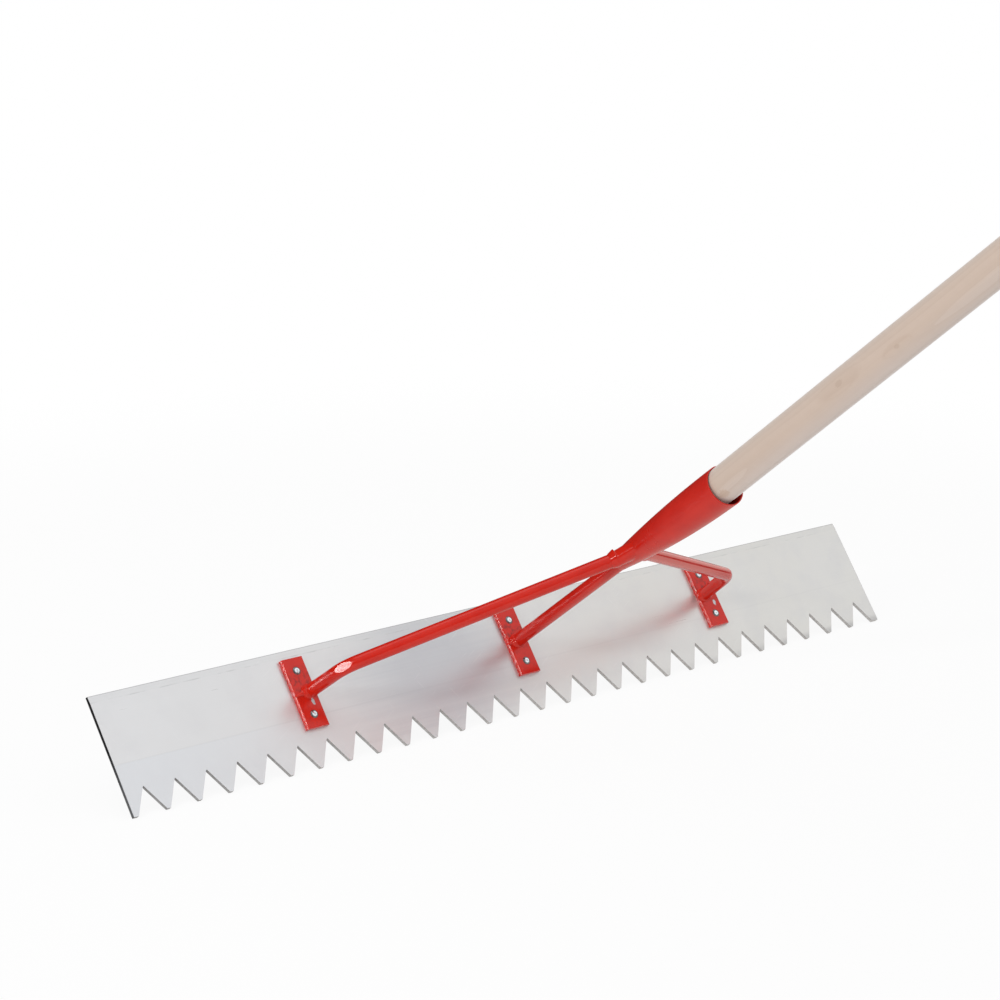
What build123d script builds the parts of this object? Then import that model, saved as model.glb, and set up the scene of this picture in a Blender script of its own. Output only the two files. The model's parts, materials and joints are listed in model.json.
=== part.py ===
from build123d import *
import math
import os

# Levelling rake: a toothed aluminium blade riveted to a welded tube bracket,
# with a rolled steel socket that holds a long wooden handle.
# Sizes in millimetres. Everything is built in the blade's own frame first:
# X along the blade, -Y towards the user, Z up from the tooth tips,
# with the blade's front face on Y = 0. The whole rake is then tipped into its working pose.

# Working pose
working_angle = 37.0

# Blade
blade_length = 1000.0
blade_height = 123.0
blade_thickness = 4.0
tooth_pitch = 35.35
tooth_angle = 60.0
tooth_tip_width = 3.7
blade_shift = 1.6
notch_root_radius = 0.8
edge_bevel_width = 7.0
edge_bevel_depth = 0.7

# Bracket plates
plate_spacing = 271.5
plate_width = 26.0
plate_height = 74.0
plate_thickness = 5.0
plate_edge_radius = 2.0

# Blind rivets
rivet_spacing = 46.6
rivet_shank_diameter = 4.0
rivet_head_diameter = 8.0
rivet_head_height = 1.4
rivet_bulge_diameter = 6.0
rivet_bulge_length = 4.5
rivet_pin_diameter = 2.2
rivet_pin_recess = 0.4
rivet_pin_head_diameter = 3.4
rivet_pin_head_length = 2.0
rivet_fit = 0.05

# Bracket tubes
bracket_rise = 0.5
bracket_droop = 0.57
tube_diameter = 14.0
tube_wall = 2.0
foot_inset = 5.4
bend_inset = 13.4
bend_distance = 62.0
bend_radius = 32.0
bend_flat_depth = 1.2
brace_reach = 229.0
brace_lap = 22.4
tube_insert = 30.0

# Handle socket
socket_mouth_distance = 378.6
socket_mouth_diameter = 41.5
socket_wall = 1.2
socket_curve = 2.0
socket_mouth_drop = 0.8
socket_stations = 7
neck_room = 3.4
tube_fit = 0.2

# Welds
weld_leg = 3.0
weld_crest = 0.4
neck_bead_length = 8.0
neck_wrap_reach = 29.0
neck_wrap_wall = 1.2
neck_wrap_spread = 14.0
neck_wrap_rise = 2.0
neck_lip_length = 7.0
neck_lip_height = 2.4

# Handle
handle_diameter = 35.0
handle_length = 1600.0
handle_tip_gap = 22.0
handle_taper_start = 2.0
handle_tilt = 1.3
handle_fit = 0.1
handle_end_radius = 8.0
handle_tip_chamfer = 2.0

# Handle screw
screw_depth = 35.0
screw_length = 25.0
screw_diameter = 4.5
screw_point_length = 6.0
screw_head_diameter = 9.0
screw_head_height = 2.6
screw_slot_width = 1.2
screw_slot_depth = 1.3
screw_clearance = 0.3
screw_fit = 0.05

# Worked-out sizes
notch_width = tooth_pitch - tooth_tip_width
notch_depth = notch_width / 2 / math.tan(math.radians(tooth_angle / 2))
notch_count = int((blade_length - 2 * blade_shift) // tooth_pitch)
bracket_height = (notch_depth + blade_height) / 2 + bracket_rise
bracket_pose = Pos(0, 0, bracket_height) * Rot(bracket_droop, 0, 0)
tube_radius = tube_diameter / 2
tube_bore = tube_radius - tube_wall
socket_neck_distance = brace_reach - brace_lap
socket_length = socket_mouth_distance - socket_neck_distance
socket_mouth_radius = socket_mouth_diameter / 2
neck_lift = neck_room / 2
socket_neck_radius = tube_radius + tube_fit + neck_lift + socket_wall
handle_radius = handle_diameter / 2
handle_insert = socket_length - tube_insert - handle_tip_gap
handle_slope = math.tan(math.radians(handle_tilt))
handle_rise = socket_mouth_radius - socket_mouth_drop - socket_wall - handle_fit - handle_radius
rivet_hole = rivet_shank_diameter / 2 + rivet_fit
rivet_heights = {
    "upper": bracket_height + rivet_spacing / 2,
    "lower": bracket_height - rivet_spacing / 2,
}
plate_sides = {"left": -1, "centre": 0, "right": 1}
brace_sides = {"left": -1, "right": 1}
on_base = (Align.CENTER, Align.CENTER, Align.MIN)


def station(x, distance, height):
    """Plane facing the user at a distance in front of the blade's front face."""
    return Plane(origin=(x, -distance, height), x_dir=(1, 0, 0), z_dir=(0, -1, 0))


def rod(plane, radius, length):
    """Round bar that stands on a plane."""
    return plane * Cylinder(radius, length, align=on_base)


def dome(radius, height):
    """Low spherical cap on the XY plane."""
    ball = (radius**2 + height**2) / (2 * height)
    return (Pos(0, 0, height - ball) * Sphere(ball)) & Cylinder(radius * 2, height, align=on_base)


# Blade

def toothed_blade():
    """Flat bar with a row of triangular teeth, a bevelled straight edge and rivet holes."""
    left = blade_shift - blade_length / 2
    right = blade_shift + blade_length / 2
    row_start = -(notch_count - 1) * tooth_pitch / 2
    outline = [(left, blade_height), (left, 0)]
    for number in range(notch_count):
        middle = row_start + number * tooth_pitch
        outline += [(middle - notch_width / 2, 0), (middle, notch_depth), (middle + notch_width / 2, 0)]
    outline += [(right, 0), (right, blade_height)]
    face = Polygon(*outline, align=None)
    roots = face.vertices().filter_by_position(Axis.Y, notch_depth, notch_depth)
    blade = extrude(Plane.XZ * fillet(roots, notch_root_radius), amount=-blade_thickness)
    bevel_foot = blade_height - edge_bevel_width
    bevel = Polygon(
        (-edge_bevel_depth, bevel_foot),
        (0, bevel_foot),
        (edge_bevel_depth, blade_height),
        (edge_bevel_depth, blade_height + edge_bevel_depth),
        (-edge_bevel_depth, blade_height + edge_bevel_depth),
        align=None,
    )
    blade -= extrude(Plane.YZ * bevel, amount=blade_length, both=True)
    return blade - rivet_holes(plate_sides.values())


def rivet_holes(sides):
    """Drills for the rivets, through the plates and the blade."""
    drills = Part()
    depth = plate_thickness + blade_thickness
    for side in sides:
        for height in rivet_heights.values():
            drills += rod(station(side * plate_spacing, -blade_thickness, height), rivet_hole, depth)
    return drills


# Bracket plates and rivets

def bracket_plate(side):
    """Flat bar with rounded long edges and two rivet holes."""
    blank = Box(plate_width, plate_height, plate_thickness, align=on_base)
    long_edges = blank.edges().filter_by(Axis.Y).group_by(Axis.Z)[-1]
    plate = station(side * plate_spacing, 0, bracket_height) * fillet(long_edges, plate_edge_radius)
    return plate - rivet_holes([side])


def rivet(side, height):
    """Blind rivet body: domed head on the plate, shank, and the set bulge behind the blade."""
    front = station(side * plate_spacing, plate_thickness, height)
    behind = station(side * plate_spacing, -blade_thickness - rivet_bulge_length, height)
    bulge = Cylinder(rivet_bulge_diameter / 2, rivet_bulge_length, align=on_base)
    bulge = chamfer(bulge.edges().group_by(Axis.Z)[0], (rivet_bulge_diameter - rivet_shank_diameter) / 2)
    grip = plate_thickness + blade_thickness + rivet_bulge_length
    body = front * dome(rivet_head_diameter / 2, rivet_head_height)
    body += rod(behind, rivet_shank_diameter / 2, grip)
    body += behind * bulge
    return body - rod(behind, rivet_pin_diameter / 2, grip + rivet_head_height)


def rivet_pin(side, height):
    """Pull pin left inside the rivet, with its head against the bulge."""
    behind = station(side * plate_spacing, -blade_thickness - rivet_bulge_length, height)
    length = rivet_bulge_length + blade_thickness + plate_thickness + rivet_head_height - rivet_pin_recess
    pin = rod(behind, rivet_pin_diameter / 2, length)
    button = Rot(180, 0, 0) * dome(rivet_pin_head_diameter / 2, rivet_pin_head_length)
    return pin + behind * button


# The bracket's own frame has its middle line on the -Y axis; bracket_pose sets it against the plates.

def seat_on_plates(shape):
    """Put a bracket piece in its place and cut off what would reach into the plates."""
    behind = Box(blade_length, blade_height, blade_height, align=(Align.CENTER, Align.MIN, Align.CENTER))
    return bracket_pose * shape - Pos(0, -plate_thickness, bracket_height) * behind


# Handle socket

def socket_share(depth):
    """How far the socket has closed at a depth inside its mouth: nothing at the mouth, one at the neck."""
    return (depth / socket_length) ** socket_curve


def socket_radius(depth):
    """Outer radius of the socket at a depth inside its mouth."""
    return socket_mouth_radius - (socket_mouth_radius - socket_neck_radius) * socket_share(depth)


def socket_rise(depth):
    """Height of the socket's centre over the bracket's middle line at a depth inside its mouth."""
    return (socket_mouth_drop + neck_lift) * socket_share(depth) - socket_mouth_drop


def socket_form(grow):
    """Closed body of the socket, with its skin moved out by grow."""
    rings = []
    for number in range(socket_stations):
        depth = socket_length * number / (socket_stations - 1)
        ring = station(0, socket_mouth_distance - depth, socket_rise(depth))
        rings.append(ring * Circle(socket_radius(depth) + grow))
    return loft(rings)


def screw_place():
    """Plane on the socket's right flank where the screw's head sits, facing outwards."""
    height = handle_rise - screw_depth * handle_slope
    seat = socket_radius(screw_depth - screw_head_diameter / 2)
    return Plane(origin=(seat, screw_depth - socket_mouth_distance, height), x_dir=(0, 0, 1), z_dir=(1, 0, 0))


def drill(plane, radius, depth):
    """Round hole that goes down from a plane, with room above it."""
    return plane.offset(-depth) * Cylinder(radius, depth * 2, align=on_base)


def handle_socket():
    """Rolled sheet socket, wide at its mouth and closed in around the centre tube at its neck."""
    shell = socket_form(0) - socket_form(-socket_wall)
    return bracket_pose * (shell - drill(screw_place(), screw_diameter / 2 + screw_clearance, socket_mouth_radius / 2))


# Bracket tubes

def centre_bar(radius):
    """Straight bar from the middle plate into the socket's neck."""
    return rod(station(0, 0, 0), radius, socket_neck_distance + tube_insert)


def centre_tube():
    """Straight tube along the bracket's middle line."""
    return seat_on_plates(centre_bar(tube_radius) - centre_bar(tube_bore))


def brace_points(side):
    """Foot on the plate, corner of the bend and the point on the middle line that a brace aims at."""
    foot = Vector(side * (plate_spacing - foot_inset), -plate_thickness, 0)
    corner = Vector(side * (plate_spacing - bend_inset), -bend_distance, 0)
    meet = Vector(0, -brace_reach, 0)
    return foot, corner, meet


def brace_bar(side, radius, flat_depth):
    """Bent round bar along a brace, flattened on the outside of its bend."""
    foot, corner, meet = brace_points(side)
    down_leg = (foot - corner).normalized()
    up_leg = (meet - corner).normalized()
    start = foot + down_leg * plate_thickness
    path = FilletPolyline(start, corner, meet, radius=bend_radius)
    bar = sweep(Plane(origin=start, z_dir=-down_leg) * Circle(radius), path)
    inward = (down_leg + up_leg).normalized()
    half_angle = math.radians(down_leg.get_angle(up_leg) / 2)
    crown = corner + inward * (bend_radius / math.sin(half_angle) - bend_radius)
    flat = Plane(origin=crown - inward * (radius - flat_depth), z_dir=-inward)
    return bar - flat * Box(bend_radius * 2, bend_radius * 2, tube_diameter, align=on_base)


def brace(side):
    """Bent tube from an outer plate to the socket's flank, coped where it meets the socket."""
    tube = brace_bar(side, tube_radius, bend_flat_depth) - brace_bar(side, tube_bore, bend_flat_depth)
    return seat_on_plates(tube - socket_form(0))


# Welds

def foot_weld(foot, bar):
    """Bead around a bar's foot on a plate."""
    bead = rod(foot.offset(-weld_leg), tube_radius + weld_leg, weld_leg)
    bead += foot * Cone(tube_radius + weld_leg, tube_radius + weld_crest, weld_leg - weld_crest, align=on_base)
    return seat_on_plates(bead - bar)


def centre_foot_weld():
    """Bead around the centre tube's foot on the middle plate."""
    return foot_weld(station(0, plate_thickness, 0), centre_bar(tube_radius))


def brace_foot_weld(side):
    """Bead around a brace's slanted foot on an outer plate."""
    foot, corner, meet = brace_points(side)
    return foot_weld(Plane(origin=foot, z_dir=(corner - foot).normalized()), brace_bar(side, tube_radius, 0))


def brace_neck_weld(side):
    """Weld that wraps a brace's end and spreads into the socket's flank, with a lip raised over the brace."""
    foot, corner, meet = brace_points(side)
    along = (meet - corner).normalized()
    level = Vector(0, 0, 1).cross(along)
    base = Plane(origin=meet - along * neck_wrap_reach, x_dir=level, z_dir=along)
    wrap_radius = tube_radius + neck_wrap_wall
    lip = Pos(0, (neck_lip_height - weld_crest) / 2, neck_lip_length)
    lip *= Circle(wrap_radius + (neck_lip_height + weld_crest) / 2)
    root = Pos(side * neck_wrap_spread / 2, neck_wrap_rise / 2, neck_wrap_reach)
    root *= Ellipse(wrap_radius + neck_wrap_spread / 2, wrap_radius + neck_wrap_rise / 2)
    wrap = loft([Circle(tube_radius + weld_crest), lip], ruled=True)
    wrap += loft([Pos(0, 0, neck_lip_length) * Circle(wrap_radius), root], ruled=True)
    return bracket_pose * (base * wrap - rod(base, tube_radius, neck_wrap_reach) - socket_form(0))


def centre_neck_weld():
    """Sloping bead that closes the socket's neck around the centre tube."""
    rings = [
        station(0, socket_neck_distance, neck_lift) * Circle(socket_neck_radius),
        station(0, socket_neck_distance - neck_bead_length, 0) * Circle(tube_radius + weld_crest),
    ]
    return bracket_pose * (loft(rings, ruled=True) - centre_bar(tube_radius))


# Handle and its screw

def handle():
    """Round wooden handle, tapered from just outside the socket's mouth down to its tip."""
    upward = Vector(0, -math.cos(math.radians(handle_tilt)), math.sin(math.radians(handle_tilt)))
    mouth = Plane(origin=(0, -socket_mouth_distance, handle_rise), x_dir=(1, 0, 0), z_dir=upward)
    lower_wall = socket_rise(handle_insert) - socket_radius(handle_insert) + socket_wall
    tip_radius = handle_rise - handle_insert * handle_slope - lower_wall - handle_fit
    taper = handle_insert + handle_taper_start
    tip = Cone(tip_radius, handle_radius, taper, align=on_base)
    tip = chamfer(tip.edges().group_by(Axis.Z)[0], handle_tip_chamfer)
    shaft = Cylinder(handle_radius, handle_length - taper, align=on_base)
    shaft = fillet(shaft.edges().group_by(Axis.Z)[-1], handle_end_radius)
    wood = mouth.offset(-handle_insert) * tip + mouth.offset(handle_taper_start) * shaft
    return bracket_pose * (wood - screw_shank(screw_fit))


def screw_shank(grow):
    """Shank and point of the handle screw, grown by a fit for its hole."""
    straight = screw_length - screw_point_length
    place = screw_place()
    shank = place.offset(-straight) * Cylinder(screw_diameter / 2 + grow, straight, align=on_base)
    point = Cone(grow, screw_diameter / 2 + grow, screw_point_length, align=on_base)
    return shank + place.offset(-screw_length) * point


def handle_screw():
    """Slotted round-head screw through the socket's right flank into the handle."""
    head = dome(screw_head_diameter / 2, screw_head_height)
    slot = Pos(0, 0, screw_head_height - screw_slot_depth) * Box(
        screw_head_diameter, screw_slot_width, screw_head_height, align=on_base
    )
    return bracket_pose * (screw_place() * (head - slot) + screw_shank(0))


# Assembly

def rake_pieces():
    """Every piece by its node name, in the blade's frame."""
    pieces = {"toothed_blade": toothed_blade(), "centre_tube": centre_tube()}
    for name, side in plate_sides.items():
        pieces[f"plate_{name}"] = bracket_plate(side)
        for row, height in rivet_heights.items():
            pieces[f"rivet_{name}_{row}"] = rivet(side, height)
            pieces[f"rivet_pin_{name}_{row}"] = rivet_pin(side, height)
    for name, side in brace_sides.items():
        pieces[f"brace_{name}"] = brace(side)
        pieces[f"weld_foot_{name}"] = brace_foot_weld(side)
        pieces[f"weld_neck_{name}"] = brace_neck_weld(side)
    pieces["weld_foot_centre"] = centre_foot_weld()
    pieces["weld_neck_centre"] = centre_neck_weld()
    pieces["handle_socket"] = handle_socket()
    pieces["handle"] = handle()
    pieces["handle_screw"] = handle_screw()
    return pieces


os.makedirs("parts", exist_ok=True)
working_pose = Rot(-working_angle, 0, 0) * Pos(0, -blade_thickness, 0)
for node, piece in rake_pieces().items():
    export_step(working_pose * piece, f"parts/{node}.step")
    print(node, round(piece.volume, 1))
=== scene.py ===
import json
import math
import random

import bpy
from mathutils import Matrix, Vector

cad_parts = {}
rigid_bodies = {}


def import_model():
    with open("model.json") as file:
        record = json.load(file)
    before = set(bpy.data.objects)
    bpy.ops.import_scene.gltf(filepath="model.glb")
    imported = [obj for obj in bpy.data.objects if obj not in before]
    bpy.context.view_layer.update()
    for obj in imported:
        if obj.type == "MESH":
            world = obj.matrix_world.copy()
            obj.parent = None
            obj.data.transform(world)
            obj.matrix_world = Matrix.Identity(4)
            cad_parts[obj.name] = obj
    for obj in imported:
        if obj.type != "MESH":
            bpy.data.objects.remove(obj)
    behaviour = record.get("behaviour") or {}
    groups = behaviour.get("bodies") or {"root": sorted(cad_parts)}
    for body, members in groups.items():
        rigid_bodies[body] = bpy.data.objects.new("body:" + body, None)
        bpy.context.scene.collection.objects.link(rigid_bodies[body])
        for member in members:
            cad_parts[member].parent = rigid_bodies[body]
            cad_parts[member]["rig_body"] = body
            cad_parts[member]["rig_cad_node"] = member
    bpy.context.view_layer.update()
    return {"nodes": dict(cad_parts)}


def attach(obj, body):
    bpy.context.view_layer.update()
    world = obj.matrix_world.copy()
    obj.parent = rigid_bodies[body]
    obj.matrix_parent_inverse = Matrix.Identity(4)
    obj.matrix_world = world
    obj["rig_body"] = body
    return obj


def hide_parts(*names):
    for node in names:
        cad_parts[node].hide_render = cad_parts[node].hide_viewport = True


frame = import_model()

# Levelling rake: finishes, weld beads, turned handle, studio and camera. Metres.
# The rake leans in its working position. "Blade space" is the blade stood upright, with its
# front face on Y = 0, X along it and Z up from the tooth tips. "Bracket space" starts at the
# middle of the plates, where the tubes stand, and droops with the tubes.

QUARTER_TURN = math.radians(90)

WORKING_LEAN = math.radians(37.0)
BLADE_LENGTH = 1.0
BLADE_SHIFT = 0.0016
BLADE_THICKNESS = 0.004
PLATE_SPACING = 0.2715
PLATE_WIDTH = 0.026
PLATE_HEIGHT = 0.074
PLATE_THICKNESS = 0.005
RIVET_SPACING = 0.0466
BRACKET_HEIGHT = 0.075705
BRACKET_DROOP = math.radians(0.57)
TUBE_RADIUS = 0.007
FOOT_INSET = 0.0054
SOCKET_MOUTH = 0.3786
SOCKET_LENGTH = 0.172
SOCKET_MOUTH_RADIUS = 0.02075
SOCKET_NECK_RADIUS = 0.0101
SOCKET_MOUTH_DROP = 0.0008
SOCKET_NECK_LIFT = 0.0017
SOCKET_WALL = 0.0012
HANDLE_RADIUS = 0.0175
HANDLE_LENGTH = 1.6
HANDLE_INSERT = 0.12
HANDLE_TAPER_START = 0.002
HANDLE_TILT = math.radians(1.3)
HANDLE_RISE = 0.00115
HANDLE_END_RADIUS = 0.008

BLADE_PLACE = (
    Matrix.Rotation(-WORKING_LEAN, 4, "X") @ Matrix.Translation((0, -BLADE_THICKNESS, 0))
)
BRACKET_PLACE = (
    BLADE_PLACE
    @ Matrix.Translation((0, 0, BRACKET_HEIGHT))
    @ Matrix.Rotation(BRACKET_DROOP, 4, "X")
)
HANDLE_PLACE = (
    BRACKET_PLACE
    @ Matrix.Translation((0, -SOCKET_MOUTH, HANDLE_RISE))
    @ Matrix.Rotation(QUARTER_TURN - HANDLE_TILT, 4, "X")
)


# Node helpers

VALUE = "NodeSocketFloat"
VECTOR = "NodeSocketVector"


def link_or_set(tree, socket, value):
    """Link a socket to another, or set it to a plain value."""
    if isinstance(value, bpy.types.NodeSocket):
        tree.links.new(value, socket)
    else:
        socket.default_value = value


def add(tree, kind, inputs=None, **settings):
    """New node with its settings and inputs."""
    made = tree.nodes.new(kind)
    for key, value in settings.items():
        setattr(made, key, value)
    for key, value in (inputs or {}).items():
        link_or_set(tree, made.inputs[key], value)
    return made


def sums(tree, operation, first, second=0.0, third=0.0):
    """One step of arithmetic on values."""
    inputs = {0: first, 1: second, 2: third}
    return add(tree, "ShaderNodeMath", inputs, operation=operation).outputs[0]


def plus(tree, first, second):
    """Sum of two values."""
    return sums(tree, "ADD", first, second)


def minus(tree, first, second):
    """First value less the second."""
    return sums(tree, "SUBTRACT", first, second)


def times(tree, first, second):
    """Product of two values."""
    return sums(tree, "MULTIPLY", first, second)


def more(tree, base, mask, amount):
    """Base value raised by an amount where a mask says."""
    return plus(tree, base, times(tree, mask, amount))


def larger(tree, first, second):
    """Larger of two values, or the second where there is no first yet."""
    return second if first is None else sums(tree, "MAXIMUM", first, second)


def apart_from(tree, value, middle):
    """Distance of a value from a middle one."""
    return sums(tree, "ABSOLUTE", minus(tree, value, middle))


def vectors(tree, operation, first, second=(0, 0, 0)):
    """One step of arithmetic on vectors; lengths and dot products come out as values."""
    made = add(tree, "ShaderNodeVectorMath", {0: first, 1: second}, operation=operation)
    return made.outputs["Value" if operation in ("LENGTH", "DOT_PRODUCT") else "Vector"]


def parts_of(tree, place):
    """X, Y and Z of a place."""
    return add(tree, "ShaderNodeSeparateXYZ", {0: place}).outputs


def place_of(tree, x, y, z):
    """Place from its X, Y and Z."""
    return add(tree, "ShaderNodeCombineXYZ", {"X": x, "Y": y, "Z": z}).outputs[0]


def noise(tree, place, scale, detail, rough=0.5):
    """Uneven value that wanders about a half."""
    inputs = {"Vector": place, "Scale": scale, "Detail": detail, "Roughness": rough}
    return add(tree, "ShaderNodeTexNoise", inputs).outputs["Fac"]


def ramp(tree, value, low, high, out_low=0.0, out_high=1.0, soft=True):
    """Value brought from one range to another, held at both ends."""
    inputs = {
        "Value": value,
        "From Min": low,
        "From Max": high,
        "To Min": out_low,
        "To Max": out_high,
    }
    way = "SMOOTHSTEP" if soft else "LINEAR"
    return add(tree, "ShaderNodeMapRange", inputs, interpolation_type=way).outputs["Result"]


def between(tree, mask, low, high, soft=True):
    """Value that a mask brings from one level to another."""
    return ramp(tree, mask, 0.0, 1.0, low, high, soft)


def blend(tree, share, first, second):
    """Two colours mixed by a share; the node keeps them in its sockets 6 and 7."""
    made = add(tree, "ShaderNodeMix", {0: share}, data_type="RGBA")
    link_or_set(tree, made.inputs[6], first)
    link_or_set(tree, made.inputs[7], second)
    return made.outputs[2]


def tint(tree, base, mask, amount, colour):
    """Base colour with another laid over it where a mask says, in an amount."""
    return blend(tree, times(tree, mask, amount), base, colour)


def new_group(name, inputs, outputs):
    """Empty node group with its named sockets, the given ones and the resulting ones."""
    group = bpy.data.node_groups.new(name, "ShaderNodeTree")
    for label, kind, value in inputs:
        socket = group.interface.new_socket(label, in_out="INPUT", socket_type=kind)
        if value is not None:
            socket.default_value = value
    for label, kind in outputs:
        group.interface.new_socket(label, in_out="OUTPUT", socket_type=kind)
    given = group.nodes.new("NodeGroupInput").outputs
    return group, given, group.nodes.new("NodeGroupOutput").inputs


def use(tree, group, **values):
    """Place a node group in a material; its inputs go by their names."""
    made = tree.nodes.new("ShaderNodeGroup")
    made.node_tree = group
    for key, value in values.items():
        link_or_set(tree, made.inputs[key], value)
    return made.outputs


# Shared effects

SCRATCH_TURNS = ((0.5, 0.0), (-1.1, 3.7))
SCRATCH_STRETCH = (1.0, 14.0, 14.0)
SCRATCH_EDGE = (0.70, 0.76)
SPOT_GRAIN = 700.0
SPOT_TEETH = 4.0
SPOT_EDGE = (1.15, 0.75)


def cloudy_patches():
    """Soft uneven patches, between nothing and one."""
    group, given, result = new_group(
        "cloudy_patches",
        [
            ("Place", VECTOR, None),
            ("Scale", VALUE, 20.0),
            ("Low", VALUE, 0.35),
            ("High", VALUE, 0.65),
        ],
        [("Share", VALUE)],
    )
    cloud = noise(group, given["Place"], given["Scale"], 3.0, 0.55)
    group.links.new(ramp(group, cloud, given["Low"], given["High"]), result["Share"])
    return group


def drawn_lines():
    """Fine lines that run along X: rolling marks in sheet, fibres in wood."""
    group, given, result = new_group(
        "drawn_lines",
        [
            ("Place", VECTOR, None),
            ("Along", VALUE, 4.0),
            ("Across", VALUE, 800.0),
            ("Detail", VALUE, 3.0),
        ],
        [("Share", VALUE)],
    )
    stretch = place_of(group, given["Along"], given["Across"], given["Across"])
    drawn = vectors(group, "MULTIPLY", given["Place"], stretch)
    line = noise(group, drawn, 1.0, given["Detail"], 0.6)
    group.links.new(ramp(group, line, 0.25, 0.75, soft=False), result["Share"])
    return group


def handling_scratches():
    """Sparse short scratches from handling, in two slanting directions."""
    group, given, result = new_group(
        "handling_scratches",
        [
            ("Place", VECTOR, None),
            ("Scale", VALUE, 60.0),
            ("Amount", VALUE, 0.5),
        ],
        [("Mask", VALUE)],
    )
    found = None
    for turn, shift in SCRATCH_TURNS:
        inputs = {
            "Vector": given["Place"],
            "Location": (shift, 0, shift),
            "Rotation": (0, turn, 0),
        }
        turned = add(group, "ShaderNodeMapping", inputs).outputs[0]
        drawn = vectors(group, "MULTIPLY", turned, SCRATCH_STRETCH)
        line = noise(group, drawn, given["Scale"], 1.0, 0.4)
        found = larger(group, found, ramp(group, line, *SCRATCH_EDGE))
    group.links.new(times(group, found, given["Amount"]), result["Mask"])
    return group


def worn_spot():
    """Ragged round spot at a point, one at its middle."""
    group, given, result = new_group(
        "worn_spot",
        [
            ("Place", VECTOR, None),
            ("Middle", VECTOR, None),
            ("Squeeze", VECTOR, (1.0, 1.0, 1.0)),
            ("Radius", VALUE, 0.002),
            ("Ragged", VALUE, 0.3),
        ],
        [("Mask", VALUE)],
    )
    away = vectors(group, "SUBTRACT", given["Place"], given["Middle"])
    reach = vectors(group, "LENGTH", vectors(group, "MULTIPLY", away, given["Squeeze"]))
    share = sums(group, "DIVIDE", reach, given["Radius"])
    grain = minus(group, noise(group, given["Place"], SPOT_GRAIN, 2.0), 0.5)
    edge = more(group, share, times(group, grain, given["Ragged"]), SPOT_TEETH)
    group.links.new(ramp(group, edge, *SPOT_EDGE), result["Mask"])
    return group


def from_nearest_plate(tree, x):
    """Distance along the blade from the middle of the nearest plate, with its sign."""
    return sums(tree, "WRAP", x, PLATE_SPACING / 2, -PLATE_SPACING / 2)


def rivet_reach():
    """Distance from the axis of the nearest rivet, in blade space."""
    group, given, result = new_group(
        "rivet_reach", [("Place", VECTOR, None)], [("Distance", VALUE)]
    )
    x, _, z = parts_of(group, given["Place"])
    above = minus(group, apart_from(group, z, BRACKET_HEIGHT), RIVET_SPACING / 2)
    away = place_of(group, from_nearest_plate(group, x), above, 0.0)
    group.links.new(vectors(group, "LENGTH", away), result["Distance"])
    return group


PATCHES = cloudy_patches()
LINES = drawn_lines()
SCRATCHES = handling_scratches()
SPOT = worn_spot()
RIVET_REACH = rivet_reach()


# Finishes

def new_finish(name):
    """Empty material with its shader, ready to be filled."""
    finish = bpy.data.materials.new(name)
    finish.use_nodes = True
    tree = finish.node_tree
    tree.nodes.clear()
    shader = tree.nodes.new("ShaderNodeBsdfPrincipled")
    output = tree.nodes.new("ShaderNodeOutputMaterial")
    tree.links.new(shader.outputs[0], output.inputs["Surface"])
    return finish, tree, shader


def fill(tree, shader, colour, rough, skin):
    """Give a shader its colour, roughness and relief."""
    tree.links.new(colour, shader.inputs["Base Color"])
    tree.links.new(rough, shader.inputs["Roughness"])
    tree.links.new(skin, shader.inputs["Normal"])


def object_place(tree, rotation=(0, 0, 0), location=(0, 0, 0)):
    """Object coordinates, turned and moved."""
    coordinates = tree.nodes.new("ShaderNodeTexCoord").outputs["Object"]
    inputs = {"Vector": coordinates, "Rotation": rotation, "Location": location}
    return add(tree, "ShaderNodeMapping", inputs).outputs[0]


def blade_space(tree):
    """Coordinates of the upright blade."""
    return object_place(tree, (WORKING_LEAN, 0, 0), (0, BLADE_THICKNESS, 0))


def facing(tree, direction):
    """How squarely a surface lies across a direction, from nothing to one."""
    normal = tree.nodes.new("ShaderNodeNewGeometry").outputs["Normal"]
    return sums(tree, "ABSOLUTE", vectors(tree, "DOT_PRODUCT", normal, direction))


def relief(tree, height, strength, distance, under=None):
    """Bump from a height."""
    inputs = {"Height": height, "Strength": strength, "Distance": distance}
    if under is not None:
        inputs["Normal"] = under
    return add(tree, "ShaderNodeBump", inputs).outputs[0]


ENAMEL_RED = (0.545, 0.0115, 0.0045, 1)
ENAMEL_LIGHTER = (0.595, 0.0160, 0.0065, 1)
ENAMEL_SPECK = (0.44, 0.008, 0.006, 1)
ENAMEL_SOOT_AND_SHADE = (0.11, 0.012, 0.010, 1)
BARE_STEEL = (0.52, 0.54, 0.56, 1)
BARE_SPOT_ACROSS = 0.0045
BARE_SPOT_DOWN = 0.0108
PLATE_RIM = 0.0011
PLATE_END_RIM = 0.0009
RIVET_SHADE_RING = (0.0050, 0.0040)
GLOSS_ENDS = -0.222
DULLEST = -0.300


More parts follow.
